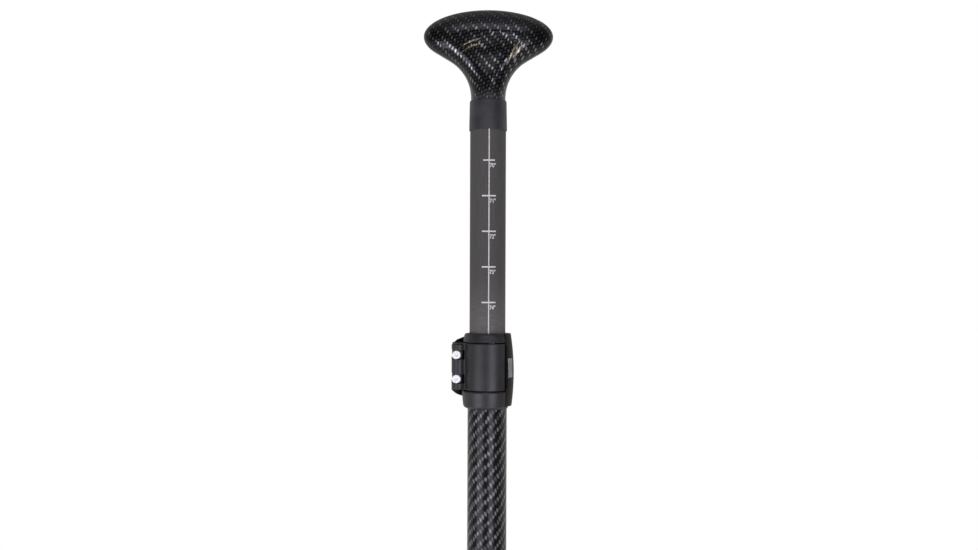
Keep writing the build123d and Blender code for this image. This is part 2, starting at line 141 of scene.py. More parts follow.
def add_world():
    """Dim studio that lights the object, and a pale backdrop to look at."""
    world = bpy.data.worlds.new("studio")
    bpy.context.scene.world = world
    world.use_nodes = True
    graph = Graph(world.node_tree)
    room = graph.add("ShaderNodeBackground")
    graph.put(room.inputs["Color"], graph.scaled(ROOM_TINT, room_brightness(graph)))
    backdrop = graph.add("ShaderNodeBackground")
    graph.put(backdrop.inputs["Color"], BACKDROP)
    mix = graph.add("ShaderNodeMixShader")
    graph.put(mix.inputs["Fac"], graph.add("ShaderNodeLightPath").outputs["Is Camera Ray"])
    graph.put(mix.inputs[1], room.outputs[0])
    graph.put(mix.inputs[2], backdrop.outputs[0])
    graph.put(graph.add("ShaderNodeOutputWorld").inputs["Surface"], mix.outputs[0])


# ------------------------------------------------------------------ node graphs

class Graph:
    """Small builder for one node tree."""

    def __init__(self, tree):
        self.tree = tree
        self.tree.nodes.clear()

    def add(self, kind):
        return self.tree.nodes.new(kind)

    def put(self, socket, value):
        """Link an output to an input, or set the input's own value."""
        if isinstance(value, bpy.types.NodeSocket):
            self.tree.links.new(value, socket)
        else:
            socket.default_value = value

    def node(self, kind, output, **inputs):
        node = self.add(kind)
        for name, value in inputs.items():
            self.put(node.inputs[name.replace("_", " ")], value)
        return node.outputs[output]

    def math(self, operation, first, second=0.0):
        node = self.add("ShaderNodeMath")
        node.operation = operation
        self.put(node.inputs[0], first)
        self.put(node.inputs[1], second)
        return node.outputs[0]

    def scaled(self, vector, factor):
        node = self.add("ShaderNodeVectorMath")
        node.operation = "SCALE"
        self.put(node.inputs[0], vector)
        self.put(node.inputs["Scale"], factor)
        return node.outputs[0]

    def ramp(self, value, low, high, start=0.0, end=1.0):
        """Smooth change from low to high as the value goes from start to end."""
        node = self.add("ShaderNodeMapRange")
        node.interpolation_type = "SMOOTHSTEP"
        for name, number in (("Value", value), ("From Min", start), ("From Max", end),
                             ("To Min", low), ("To Max", high)):
            self.put(node.inputs[name], number)
        return node.outputs["Result"]

    def modulo(self, value, period):
        return self.math("FLOORED_MODULO", value, period)

    def choose(self, switch, yes, no):
        """One of two values, by a switch of 1 or 0."""
        return self.math("ADD", self.math("MULTIPLY", yes, switch),
                         self.math("MULTIPLY", no, self.math("SUBTRACT", 1.0, switch)))

    def mix(self, share, first, second):
        node = self.add("ShaderNodeMix")
        node.data_type = "RGBA"
        self.put(node.inputs["Factor"], share)
        self.put(node.inputs[6], first)
        self.put(node.inputs[7], second)
        return node.outputs[2]

    def place(self):
        """Coordinates of the piece's own space, in millimetres."""
        return self.scaled(self.add("ShaderNodeTexCoord").outputs["Object"], 1 / MM)

    def split(self, vector):
        node = self.add("ShaderNodeSeparateXYZ")
        self.put(node.inputs[0], vector)
        return node.outputs

    def join(self, x=0.0, y=0.0, z=0.0):
        return self.node("ShaderNodeCombineXYZ", 0, X=x, Y=y, Z=z)

    def noise(self, vector, scale, detail=3.0):
        return self.node("ShaderNodeTexNoise", 0, Vector=vector, Scale=scale, Detail=detail)

    def bump(self, height, distance, strength):
        return self.node("ShaderNodeBump", 0, Height=height, Distance=distance, Strength=strength)


class Surface(Graph):
    """Builder for one procedural material with a Principled shader."""

    def __init__(self, name):
        self.material = bpy.data.materials.new(name)
        self.material.use_nodes = True
        super().__init__(self.material.node_tree)
        self.bsdf = self.add("ShaderNodeBsdfPrincipled")
        self.put(self.add("ShaderNodeOutputMaterial").inputs["Surface"], self.bsdf.outputs[0])

    def set(self, **inputs):
        """Put values on the shader's inputs."""
        for name, value in inputs.items():
            self.put(self.bsdf.inputs[name.replace("_", " ")], value)


def grey(value, warm=0.0):
    """Neutral colour, a little warmer or cooler."""
    return (value * (1 + warm), value, value * (1 - warm), 1)


# ------------------------------------------------------------------ carbon twill

# Tow widths in millimetres, and how far the tows wander sideways.
TOW = 1.9
TOW_LENGTHWISE = 2.06
SHAFT_TOWS = 48
WANDER = 0.45
WANDER_SCALE = 0.16
# The middle of a noise's values, which a ramp spreads over its whole range.
NOISE_CORE = (0.25, 0.75)
NOISE_BODY = (0.3, 0.7)
NOISE_STEEP = (0.35, 0.65)
# A 2x2 twill repeats every four tows, and each float passes over two.
REPEAT = 4.0
FLOAT = 2.0
FLOAT_LENGTH_POWER = 0.5
FLOAT_WIDTH_POWER = 0.6
# Slant and edge sharpness of the painted highlight streaks along the tow floats.
HIGHLIGHT_LEAN = 0.5
HIGHLIGHT_EDGE_POWER = 3.0
DIMMEST_TOW = 0.35
# Painted shade: share of the ground's colour left at the edges of each float, where the tows dip under each
# other.
TOW_EDGE_PAINTED_SHADE = 0.3
CARBON_BLUE = 1.07
CARBON_SPECULAR = 0.2
WEFT_ROUGHER = 0.15
CLOTH_RELIEF = 0.1 * MM
CLOTH_RELIEF_STRENGTH = 0.6

# Look of one lay-up: the painted highlight streak's half width as a share of a tow,
# brightness of that painted highlight and of the ground, roughness, metallic, the lacquer's
# weight, IOR and roughness, how the painted highlight tapers, and brightness of the painted
# highlight on the crossing tows.
Weave = namedtuple("Weave", "half_width bright ground gloss metallic coat taper weft")
SHAFT_WEAVE = Weave(0.5, 0.23, 0.004, 0.50, 0.5, (1.0, 1.24, 0.2), 1.2, 0.0)
BLADE_WEAVE = Weave(0.45, 0.2, 0.005, 0.45, 0.6, (1.0, 1.27, 0.12), 1.2, 0.0)
GRIP_WEAVE = Weave(0.34, 0.33, 0.004, 0.25, 0.95, (0.75, 1.30, 0.2), 2.6, 0.03)

# The grip's crown and neck are less metallic than its face and carry fewer painted highlight streaks; their
# ground is lightened as a painted haze of reflected studio light.
PAINTED_HAZE_GROUND = 0.036
DULL_METALLIC = 0.4
DULL_HIGHLIGHTS = 0.45
NECK_PAINTED_HAZE = 0.035
NECK_HEIGHTS = (6, 22)        # above the neck's foot
CROWN_DEPTHS = (22, 9)        # below the grip's top
# Towards the sides, where the two halves meet, the painted highlight streaks fade at these distances from the
# seam.
SIDE_FADE_BAND = (4.5, 8.0)
SIDE_FADE_SHARE = 0.15

# Start, end and half width of each pinstripe: x, and height from the grip's top.
PINSTRIPES = (
    ((-22.0, -31.0), (-4.0, -23.0), 0.6),
    ((-20.5, -34.0), (-4.0, -26.5), 0.6),
    ((14.5, -40.0), (23.0, -24.5), 0.6),
    ((18.0, -40.0), (26.0, -26.0), 0.6),
)
PINSTRIPE_BOW = 1.5
PINSTRIPE_GOLD = (0.30, 0.25, 0.155, 1)
PINSTRIPE_WEAR_SCALE = 0.9
PINSTRIPE_THINNEST = 0.3


def half_wave(graph, share):
    """Rise and fall over each whole share, from 0 through 1 to 0."""
    return graph.math("SINE", graph.math("MULTIPLY", share, math.pi))


def dome(graph, share, side):
    """Rounded height of one tow float from its length share and its cross share."""
    length = half_wave(graph, graph.math("FRACT", share))
    width = half_wave(graph, side)
    return graph.math("MULTIPLY", graph.math("POWER", length, FLOAT_LENGTH_POWER),
                      graph.math("POWER", width, FLOAT_WIDTH_POWER))


def painted_streak(graph, share, side, weave):
    """Slanted painted highlight streak along the middle of a tow float."""
    drift = graph.math("MULTIPLY", graph.math("SUBTRACT", share, 0.5), HIGHLIGHT_LEAN)
    offset = graph.math("SUBTRACT", graph.math("ADD", side, drift), 0.5)
    aside = graph.math("DIVIDE", graph.math("ABSOLUTE", offset), weave.half_width)
    fall = graph.math("EXPONENT", graph.math("MULTIPLY", graph.math("POWER", aside, HIGHLIGHT_EDGE_POWER), -1.0))
    length = half_wave(graph, graph.math("FRACT", share))
    return graph.math("MULTIPLY", graph.math("POWER", length, weave.taper), fall)


def twill(graph, across, along, pitches, weave):
    """2x2 twill: whether the lengthwise tow is on top, both tows' painted highlight streaks, random tone and
    height.
    """
    u = graph.math("DIVIDE", across, pitches[0])
    v = graph.math("DIVIDE", along, pitches[1])
    column = graph.math("FLOOR", u)
    row = graph.math("FLOOR", v)
    warp_on_top = graph.math("LESS_THAN", graph.modulo(graph.math("SUBTRACT", row, column), REPEAT), FLOAT)
    warp_share = graph.math("DIVIDE", graph.modulo(graph.math("SUBTRACT", v, column), REPEAT), FLOAT)
    weft_run = graph.modulo(graph.math("SUBTRACT", u, row), REPEAT)
    weft_share = graph.math("DIVIDE", graph.math("SUBTRACT", weft_run, 1.0), FLOAT)
    warp_side = graph.math("FRACT", u)
    weft_side = graph.math("FRACT", v)
    height = graph.choose(warp_on_top, dome(graph, warp_share, warp_side), dome(graph, weft_share, weft_side))
    warp_highlight = painted_streak(graph, warp_share, warp_side, weave)
    weft_highlight = painted_streak(graph, weft_share, weft_side, weave)
    block = graph.math("FLOOR", graph.math("DIVIDE", graph.math("SUBTRACT", v, column), REPEAT))
    tone = graph.node("ShaderNodeTexWhiteNoise", 0, Vector=graph.join(column, block, 3.0))
    return warp_on_top, warp_highlight, weft_highlight, tone, height


def carbon(graph, across, along, pitches, weave, ground=None, metallic=None, highlight_fade=1.0):
    """Clear-coated twill over two surface coordinates in millimetres, its tows a little wavy, with painted
    highlight streaks along the floats.
    """
    ground = weave.ground if ground is None else ground
    metallic = weave.metallic if metallic is None else metallic
    wander = graph.noise(graph.join(across, along, 0.0), WANDER_SCALE, 2.0)
    across = graph.math("ADD", across, graph.ramp(wander, -WANDER, WANDER, *NOISE_CORE))
    along = graph.math("ADD", along, graph.ramp(wander, WANDER, -WANDER, *NOISE_CORE))
    warp_on_top, warp_highlight, weft_highlight, tone, height = twill(graph, across, along, pitches, weave)
    # Painted highlight: a bright streak along each float's crest, dimmed at random per tow, laid over the
    # weave's own dark pattern.
    strength = graph.math("MULTIPLY", warp_highlight, graph.ramp(tone, weave.bright * DIMMEST_TOW, weave.bright))
    warp = graph.math("MULTIPLY", strength, highlight_fade)
    weft = graph.math("MULTIPLY", graph.math("MULTIPLY", weft_highlight, highlight_fade), weave.weft)
    # Painted shade: the ground darkens towards each float's edges, by the tow's height.
    base = graph.math("MULTIPLY", graph.ramp(height, TOW_EDGE_PAINTED_SHADE, 1.0), ground)
    value = graph.choose(warp_on_top, graph.math("ADD", base, warp), graph.math("ADD", base, weft))
    blue = graph.math("MULTIPLY", value, CARBON_BLUE)
    coat_weight, coat_ior, coat_roughness = weave.coat
    graph.set(
        Base_Color=graph.node("ShaderNodeCombineColor", 0, Red=value, Green=value, Blue=blue),
        Roughness=graph.choose(warp_on_top, weave.gloss, weave.gloss + WEFT_ROUGHER),
        Metallic=metallic,
        Specular_IOR_Level=CARBON_SPECULAR,
        Coat_Weight=coat_weight,
        Coat_IOR=coat_ior,
        Coat_Roughness=coat_roughness,
        Normal=graph.bump(height, CLOTH_RELIEF, CLOTH_RELIEF_STRENGTH),
    )


def azimuth(graph, x, y):
    """Angle about the shaft axis, 0 at the front."""
    return graph.math("ARCTAN2", x, graph.math("MULTIPLY", y, -1.0))


def shaft_carbon():
    """Satin-lacquered twill wrapped round the shaft."""
    graph = Surface("gloss_carbon_shaft")
    x, y, z = graph.split(graph.place())[:3]
    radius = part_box("lower_shaft")[1].x / MM
    tow = 2 * math.pi * radius / SHAFT_TOWS
    girth = graph.math("MULTIPLY", azimuth(graph, x, y), radius)
    carbon(graph, girth, z, (tow, TOW_LENGTHWISE), SHAFT_WEAVE)
    return graph.material


def blade_carbon():
    """Twill laid flat on the blade's faces."""
    graph = Surface("gloss_carbon_blade")
    x, _, z = graph.split(graph.place())[:3]
    carbon(graph, x, z, (TOW, TOW_LENGTHWISE), BLADE_WEAVE)
    return graph.material


def grip_carbon():
    """Twill draped over the handle, by the arc lengths stored in its UV map."""
    graph = Surface("gloss_carbon_grip")
    uv = graph.add("ShaderNodeUVMap")
    uv.uv_map = "drape"
    u, v = graph.split(uv.outputs[0])[:2]
    mirrored = graph.math("MULTIPLY", u, -1.0)
    _, y, z = graph.split(graph.place())[:3]
    foot, top = NECK_BOTTOM / MM, GRIP_TOP / MM
    neck = graph.ramp(z, 1.0, 0.0, foot + NECK_HEIGHTS[0], foot + NECK_HEIGHTS[1])
    crown = graph.ramp(z, 0.0, 1.0, top - CROWN_DEPTHS[0], top - CROWN_DEPTHS[1])
    dull_and_hazy = graph.math("MAXIMUM", neck, crown)
    # Painted reflection: the ground is lightened on the crown, and further on the neck, as a haze of
    # reflected light.
    ground = graph.math("ADD", graph.ramp(dull_and_hazy, GRIP_WEAVE.ground, PAINTED_HAZE_GROUND),
                        graph.ramp(neck, 0.0, NECK_PAINTED_HAZE))
    metallic = graph.ramp(dull_and_hazy, GRIP_WEAVE.metallic, DULL_METALLIC)
    # The painted highlights fade on the grip's sides, near the seam.
    side_fade = graph.ramp(graph.math("ABSOLUTE", y), SIDE_FADE_SHARE, 1.0, *SIDE_FADE_BAND)
    highlight_fade = graph.math("MULTIPLY", side_fade, graph.ramp(dull_and_hazy, 1.0, DULL_HIGHLIGHTS))
    carbon(graph, mirrored, v, (TOW, TOW_LENGTHWISE), GRIP_WEAVE, ground, metallic, highlight_fade)
    gild(graph)
    return graph.material


def pinstripe(graph, x, z, start, end, half_width):
    """Mask of one thin bowed line on the grip's front."""
    run = np.array(end) - np.array(start)
    length = float(np.hypot(*run))
    cosine, sine = run / length
    right = graph.math("SUBTRACT", x, start[0])
    up = graph.math("SUBTRACT", z, GRIP_TOP / MM + start[1])
    travel = graph.math("ADD", graph.math("MULTIPLY", right, cosine), graph.math("MULTIPLY", up, sine))
    share = graph.math("DIVIDE", travel, length)
    aside = graph.math("SUBTRACT", graph.math("MULTIPLY", up, cosine), graph.math("MULTIPLY", right, sine))
    inside = graph.math("MULTIPLY", graph.math("GREATER_THAN", share, 0.0),
                        graph.math("LESS_THAN", share, 1.0))
    arch = half_wave(graph, share)
    bowed = graph.math("SUBTRACT", aside, graph.math("MULTIPLY", arch, PINSTRIPE_BOW))
    thick = graph.math("MULTIPLY", arch, half_width)
    line = graph.math("LESS_THAN", graph.math("ABSOLUTE", bowed), thick)
    return graph.math("MULTIPLY", line, inside)


def gild(graph):
    """Plain gold pinstripes under the handle's lacquer."""
    x, y, z = graph.split(graph.place())[:3]
    mask = 0.0
    for start, end, half_width in PINSTRIPES:
        mask = graph.math("MAXIMUM", mask, pinstripe(graph, x, z, start, end, half_width))
    front = graph.math("LESS_THAN", y, 0.0)
    wear = graph.noise(graph.place(), PINSTRIPE_WEAR_SCALE)
    worn = graph.ramp(wear, PINSTRIPE_THINNEST, 1.0, *NOISE_STEEP)
    share = graph.math("MULTIPLY", graph.math("MULTIPLY", mask, front), worn)
    woven = graph.bsdf.inputs["Base Color"].links[0].from_socket
    graph.set(Base_Color=graph.mix(share, woven, PINSTRIPE_GOLD))


# ------------------------------------------------------------------ other materials

CLOUD_SCALE = 0.09
CLOUD_SPREAD = 0.25
GRAIN_SCALE = 3.2
GRAIN_DETAIL = 2.0
GRAIN_RELIEF = 0.04 * MM
GRAIN_ROUGHNESS = 0.06
# Plastics on the CAD's own nodes: material, nodes, colour, roughness, grain, specular.
PLASTICS = (
    ("black_nylon", ("top_guide_ring", "lower_collar", "clamp_band"),
     (0.0175, 0.0171, 0.0195), 0.43, 0.5, 0.5),
    ("lever_nylon", ("cam_lever",), (0.0130, 0.0108, 0.0100), 0.42, 0.5, 0.12),
    ("grey_pad", ("lever_pad",), (0.28, 0.272, 0.282), 0.55, 0.5, 0.4),
    ("sleeve_rubber", ("handle_sleeve",), (0.031, 0.031, 0.035), 0.46, 0.8, 0.45),
    ("acetal", ("cam_shoe", "glide_ring"), (0.7, 0.7, 0.7), 0.4, 0.5, 0.4),
    ("rail_plastic", ("blade_edge_rail",), (0.025, 0.025, 0.025), 0.4, 0.5, 0.4),
    ("plug_plastic", ("tube_end_plug", "handle_spigot", "blade_tenon"),
     (0.06, 0.06, 0.06), 0.5, 0.5, 0.4),
)
FOAM = ("foam", (0.7, 0.66, 0.52), 0.8, 0.9, 0.4)

SCRATCH_SCALE = 6.0
SCRATCH_DETAIL = 4.0
SCRATCH_RELIEF = 0.01 * MM
SCRATCH_STRENGTH = 0.3
SCRATCH_DULLING = 0.9
SCRATCH_ROUGHNESS = (0.8, 1.3)
# Metals: material, nodes, brightness, roughness.
METALS = (
    ("polished_steel", ("clamp_bolts",), 1.0, 0.5),
    ("turned_steel", ("bolt_washers", "barrel_nut"), 0.6, 0.35),
)

TUBE_SHADES = (0.068, 0.086)
TUBE_GREEN = 0.97
TUBE_BLUE = 0.92
TUBE_ROUGHNESS = (0.55, 0.68)
TUBE_SPECULAR = 0.25
TUBE_RELIEF = 0.03 * MM
TUBE_RELIEF_STRENGTH = 0.4
FIBRES_AROUND = 9.0
FIBRES_ALONG = 0.03
FIBRE_SCALE = 2.0
RINGS_ALONG = 1.5
RING_SCALE = 1.6
RING_SPREAD = (0.35, 0.7)
NEAR_LOCK_HEIGHTS = (56.0, 100.0)
NEAR_LOCK_RINGS = 0.035
NEAR_LOCK_LIGHTENING = 0.03

INK_DARK = 0.60
INK_LIGHT = 0.74
INK_WARM = 0.02
INK_ROUGHNESS = (0.45, 0.6)
INK_WEAR_SCALE = 1.3
INK_WEAR_DETAIL = 4.0


def plastic(name, colour, roughness, grain, specular):
    """Moulded surface with a fine grain and faint cloudy variation."""
    graph = Surface(name)
    place = graph.place()
    cloud = graph.noise(place, CLOUD_SCALE)
    fine = graph.noise(place, GRAIN_SCALE, GRAIN_DETAIL)
    shade = graph.ramp(cloud, 1 - CLOUD_SPREAD, 1 + CLOUD_SPREAD, *NOISE_BODY)
    graph.set(
        Base_Color=graph.scaled(colour, shade),
        Roughness=graph.ramp(fine, roughness - GRAIN_ROUGHNESS, roughness + GRAIN_ROUGHNESS, *NOISE_BODY),
        Specular_IOR_Level=specular,
        Normal=graph.bump(fine, GRAIN_RELIEF, grain),
    )
    return graph.material


def metal(name, brightness, roughness):
    """Polished or turned metal with faint scratches."""
    graph = Surface(name)
    scratch = graph.noise(graph.place(), SCRATCH_SCALE, SCRATCH_DETAIL)
    smoothest, roughest = (roughness * share for share in SCRATCH_ROUGHNESS)
    graph.set(
        Base_Color=graph.mix(scratch, grey(brightness), grey(brightness * SCRATCH_DULLING)),
        Roughness=graph.ramp(scratch, smoothest, roughest),
        Metallic=1.0,
        Normal=graph.bump(scratch, SCRATCH_RELIEF, SCRATCH_STRENGTH),
    )
    return graph.material


def tube_material():
    """Matte sanded tube: fine lengthwise grain, lighter towards its lower end just above the lock, with faint
    rings there.
    """
    graph = Surface("matte_tube")
    x, y, z = graph.split(graph.place())[:3]
    angle = azimuth(graph, x, y)
    around = graph.math("MULTIPLY", angle, FIBRES_AROUND)
    fibres = graph.noise(graph.join(around, 0.0, graph.math("MULTIPLY", z, FIBRES_ALONG)), FIBRE_SCALE)
    rings = graph.noise(graph.join(angle, 0.0, graph.math("MULTIPLY", z, RINGS_ALONG)), RING_SCALE)
    near_lock = graph.ramp(z, 1.0, 0.0, *NEAR_LOCK_HEIGHTS)
    base = graph.ramp(fibres, *TUBE_SHADES, *NOISE_BODY)
    striae = graph.math("MULTIPLY", graph.ramp(rings, 0.0, NEAR_LOCK_RINGS, *RING_SPREAD), near_lock)
    # Lighter towards the tube's lower end, just above the lock.
    worn = graph.math("ADD", striae, graph.math("MULTIPLY", near_lock, NEAR_LOCK_LIGHTENING))
    value = graph.math("ADD", base, worn)
    green = graph.math("MULTIPLY", value, TUBE_GREEN)
    blue = graph.math("MULTIPLY", value, TUBE_BLUE)
    graph.set(
        Base_Color=graph.node("ShaderNodeCombineColor", 0, Red=value, Green=green, Blue=blue),
        Roughness=graph.ramp(fibres, *TUBE_ROUGHNESS),
        Specular_IOR_Level=TUBE_SPECULAR,
        Normal=graph.bump(graph.math("ADD", rings, fibres), TUBE_RELIEF, TUBE_RELIEF_STRENGTH),
    )
    return graph.material


def printed_ink():
    """Slightly worn pale printing."""
    graph = Surface("scale_ink")
    wear = graph.noise(graph.place(), INK_WEAR_SCALE, INK_WEAR_DETAIL)
    share = graph.ramp(wear, 0.0, 1.0, *NOISE_STEEP)
    graph.set(
        Base_Color=graph.mix(share, grey(INK_DARK, INK_WARM), grey(INK_LIGHT, INK_WARM)),
        Roughness=graph.ramp(wear, *INK_ROUGHNESS),
    )
    return graph.material


def dress(nodes, material):
    """Give CAD nodes one material."""
    for name in nodes:
        slots = NODES[name].data.materials
        slots.clear()
        slots.append(material)


def dress_cad(foam):
    """Give every CAD node that stays visible its material."""
    for name, nodes, colour, roughness, grain, specular in PLASTICS:
        dress(nodes, plastic(name, colour, roughness, grain, specular))
    for name, nodes, brightness, roughness in METALS:
        dress(nodes, metal(name, brightness, roughness))
    dress(["lower_shaft"], shaft_carbon())
    dress(["blade_front_skin", "blade_back_skin"], blade_carbon())
    dress(["extension_tube"], tube_material())
    dress(["shaft_plug", "blade_foam_core"], foam)


# ------------------------------------------------------------------ mesh helpers

MERGE_DISTANCE = 1e-6
SMOOTH_ANGLE = math.radians(40)


def closed_sheet(name, outer, inner, body, material, uv=None):
    """Closed piece between two grids of points, with an optional UV for each point."""
    rows, columns = outer.shape[:2]
    count = rows * columns
    points = np.concatenate([outer.reshape(-1, 3), inner.reshape(-1, 3)])
    faces = []

    def at(row, column, side):
        return side * count + row * columns + column

    for row in range(rows - 1):
        for column in range(columns - 1):
            quad = [(row, column), (row, column + 1), (row + 1, column + 1), (row + 1, column)]
            faces.append([at(r, c, 0) for r, c in quad])
            faces.append([at(r, c, 1) for r, c in reversed(quad)])
    rim = [(0, c) for c in range(columns)]
    rim += [(r, columns - 1) for r in range(1, rows)]
    rim += [(rows - 1, c) for c in range(columns - 2, -1, -1)]
    rim += [(r, 0) for r in range(rows - 2, 0, -1)]
    for here, there in zip(rim, rim[1:] + rim[:1]):
        faces.append([at(*there, 0), at(*here, 0), at(*here, 1), at(*there, 1)])
    mesh = bpy.data.meshes.new(name)
    mesh.from_pydata(points.tolist(), [], faces)
    if uv is not None:
        layer = mesh.uv_layers.new(name="drape")
        flat = np.concatenate([uv.reshape(-1, 2)] * 2)
        loops = np.empty(len(mesh.loops), dtype=np.int32)
        mesh.loops.foreach_get("vertex_index", loops)
        layer.data.foreach_set("uv", flat[loops].astype(np.float32).ravel())
    return finish_piece(name, mesh, body, material)


def finish_piece(name, mesh, body, material):
    """Clean a mesh, shade it and hang it on its body."""
    work = bmesh.new()
    work.from_mesh(mesh)
    bmesh.ops.remove_doubles(work, verts=work.verts, dist=MERGE_DISTANCE)
    bmesh.ops.recalc_face_normals(work, faces=work.faces)
    work.to_mesh(mesh)
    work.free()
    mesh.polygons.foreach_set("use_smooth", [True] * len(mesh.polygons))
    mesh.set_sharp_from_angle(angle=SMOOTH_ANGLE)
    mesh.materials.append(material)
    piece = bpy.data.objects.new(name, mesh)
    bpy.context.scene.collection.objects.link(piece)
    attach(piece, body)
    return piece


# ------------------------------------------------------------------ handle

GRIP_LOW, GRIP_HIGH = (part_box("handle_back_shell")[i] for i in (0, 1))
NECK_BOTTOM = GRIP_LOW.z
GRIP_TOP = GRIP_HIGH.z
GRIP_HALF_WIDTH = GRIP_HIGH.x
GRIP_HALF_DEPTH = GRIP_HIGH.y
HOLLOW_TOP = GRIP_TOP - 16.0 * MM
HOLLOW_DEEPEST = GRIP_TOP - 30.0 * MM
HOLLOW_BOTTOM = GRIP_TOP - 52.0 * MM
HOLLOW_DEPTH = 3.7 * MM
HOLLOW_SPREAD = 0.70       # share of the handle's half width
GRIP_HALF_HEIGHT = 19.1 * MM
GRIP_LOWER_HEIGHT = 19.9 * MM
GRIP_CENTRE = GRIP_TOP - GRIP_HALF_HEIGHT
NECK_RADIUS = 12.5 * MM
FLARE_RADIUS = 31.3 * MM
FLARE_START = GRIP_TOP - 64.0 * MM
OVAL_JOIN = GRIP_TOP - 30.7 * MM
SHELL_WALL = 1.2 * MM
CORE_INSET = 1.25 * MM
# Rows of the grip's grid below and above its widest line, and columns round one half.
LOWER_ROWS = 90
UPPER_ROWS = 60
ROUND_COLUMNS = 121


def grip_half_width(height):
    """Half width below the widest line: oval, tangent line, concave flare, round neck."""
    fall = (GRIP_CENTRE - OVAL_JOIN) / GRIP_LOWER_HEIGHT
    slope = GRIP_HALF_WIDTH / GRIP_LOWER_HEIGHT * fall / math.sqrt(1 - fall ** 2)
    join_half = GRIP_HALF_WIDTH * math.sqrt(1 - fall ** 2)
    angle = math.atan(slope)
    arc_half = NECK_RADIUS + FLARE_RADIUS * (1 - math.cos(angle))
    arc_top = OVAL_JOIN - (join_half - arc_half) / slope
    arc_start = arc_top - FLARE_RADIUS * math.sin(angle)
    if height >= OVAL_JOIN:
        return GRIP_HALF_WIDTH * math.sqrt(max(0.0, 1 - ((height - GRIP_CENTRE) / GRIP_LOWER_HEIGHT) ** 2))
    if height >= arc_top:
        return join_half - slope * (OVAL_JOIN - height)
    if height <= arc_start:
        return NECK_RADIUS
    return NECK_RADIUS + FLARE_RADIUS - math.sqrt(FLARE_RADIUS ** 2 - (height - arc_start) ** 2)


def grip_half_depth(height):
    """Half depth below the widest line."""
    share = min(1.0, max(0.0, (height - FLARE_START) / (GRIP_CENTRE - FLARE_START)))
    return NECK_RADIUS + (GRIP_HALF_DEPTH - NECK_RADIUS) * share ** 2 * (3 - 2 * share)


def grip_section(step):
    """Half width, half depth and height: step 0 is the neck, 1 the widest line, 2 the top."""
    if step <= 1:
        height = NECK_BOTTOM + (GRIP_CENTRE - NECK_BOTTOM) * step
        return grip_half_width(height), grip_half_depth(height), height
    turn = (step - 1) * math.pi / 2
    lift = GRIP_HALF_HEIGHT * math.sin(turn)
    return GRIP_HALF_WIDTH * math.cos(turn), GRIP_HALF_DEPTH * math.cos(turn), GRIP_CENTRE + lift


def swell(share):
    """Smooth fall from 1 in the middle to 0 at a share of 1."""
    return np.cos(np.clip(share, 0, 1) * math.pi / 2) ** 2


def scoop(x, y, height, half_width):
    """Press the front face in along a shallow, soft-edged hollow for the thumb."""
    reach = HOLLOW_TOP - HOLLOW_DEEPEST if height > HOLLOW_DEEPEST else HOLLOW_DEEPEST - HOLLOW_BOTTOM
    lengthwise = swell(abs(height - HOLLOW_DEEPEST) / reach)
    across = swell(np.abs(x) / (half_width * HOLLOW_SPREAD))
    return y + HOLLOW_DEPTH * lengthwise * across


def grip_grid(front, inset):
    """Grid of points over the front or back half of the handle."""
    steps = np.concatenate([np.linspace(0, 1, LOWER_ROWS), np.linspace(1, 2, UPPER_ROWS)[1:]])
    turns = np.linspace(-math.pi / 2, math.pi / 2, ROUND_COLUMNS)
    grid = np.empty((len(steps), len(turns), 3))
    for row, step in enumerate(steps):
        width, depth, height = grip_section(step)
        width = max(width - inset, 0)
        depth = max(depth - inset, 0)
        x = width * np.sin(turns)
        y = depth * np.cos(turns)
        z = np.full_like(x, height)
        if step > 1:
            z -= inset * math.sin((step - 1) * math.pi / 2)
        if front:
            y = scoop(x, -y, height, max(width, inset))
        grid[row] = np.stack([x, y, z], axis=1)
    return grid


def drape(grid):
    """Arc lengths of a grid, in millimetres: across from its middle column, and along that column."""
    middle = grid.shape[1] // 2
    hops = np.linalg.norm(np.diff(grid, axis=1), axis=2)
    run = np.concatenate([np.zeros((grid.shape[0], 1)), np.cumsum(hops, axis=1)], axis=1)
    across = run - run[:, middle:middle + 1]
    climb = np.linalg.norm(np.diff(grid[:, middle], axis=0), axis=1)
    along = np.concatenate([[0], np.cumsum(climb)])
    return np.stack([across, np.repeat(along[:, None], grid.shape[1], axis=1)], axis=2) / MM


def build_handle(material):
    """Front and back carbon halves of the palm grip."""
    for name, node in (("grip_front", "handle_front_shell"), ("grip_back", "handle_back_shell")):
        front = name == "grip_front"
        outer = grip_grid(front, 0.0)
        inner = grip_grid(front, SHELL_WALL)
        piece = closed_sheet(name, outer, inner, "extension", material, drape(outer))
        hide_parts(node)


def build_core(material):
    """Foam core that follows the visible shells."""
    front = grip_grid(True, CORE_INSET)
    back = grip_grid(False, CORE_INSET)
    piece = closed_sheet("grip_core", front, back, "extension", material)
    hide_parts("handle_foam_core")


# ------------------------------------------------------------------ printed length scale

TUBE_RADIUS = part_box("extension_tube")[1].x
INK_RADIUS = TUBE_RADIUS + 0.01 * MM      # within the tube's running fit in the shaft
INK_ROOT = TUBE_RADIUS - 0.02 * MM
INK_STEP = 0.5 * MM
INCH = 25.4 * MM
LINE_HALF = 0.38 * MM
LINE_START = 2 * MM           # above the tube's lower end
LINE_UNDER_SLEEVE = 1 * MM
TICK_REACH = 5.1 * MM
TICK_HALF = 0.5 * MM
FIRST_TICK_SHARE = 0.82
NUMBER_SIZE = 4.1 * MM
NUMBER_BOLDNESS = 0.11 * MM
NUMBER_NARROWING = 0.82
NUMBER_FINENESS = 0.7 * MM
NUMBER_SPLITS = 4
NUMBER_SIDE = 0.45 * MM
NUMBER_DROP = 2.0 * MM
SCALE_AZIMUTH = math.radians(3.6)
LOCK_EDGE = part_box("top_guide_ring")[1].z
FIRST_MARK = LOCK_EDGE + 124.3 * MM
FIRST_INCH = 70
LAST_INCH = 86


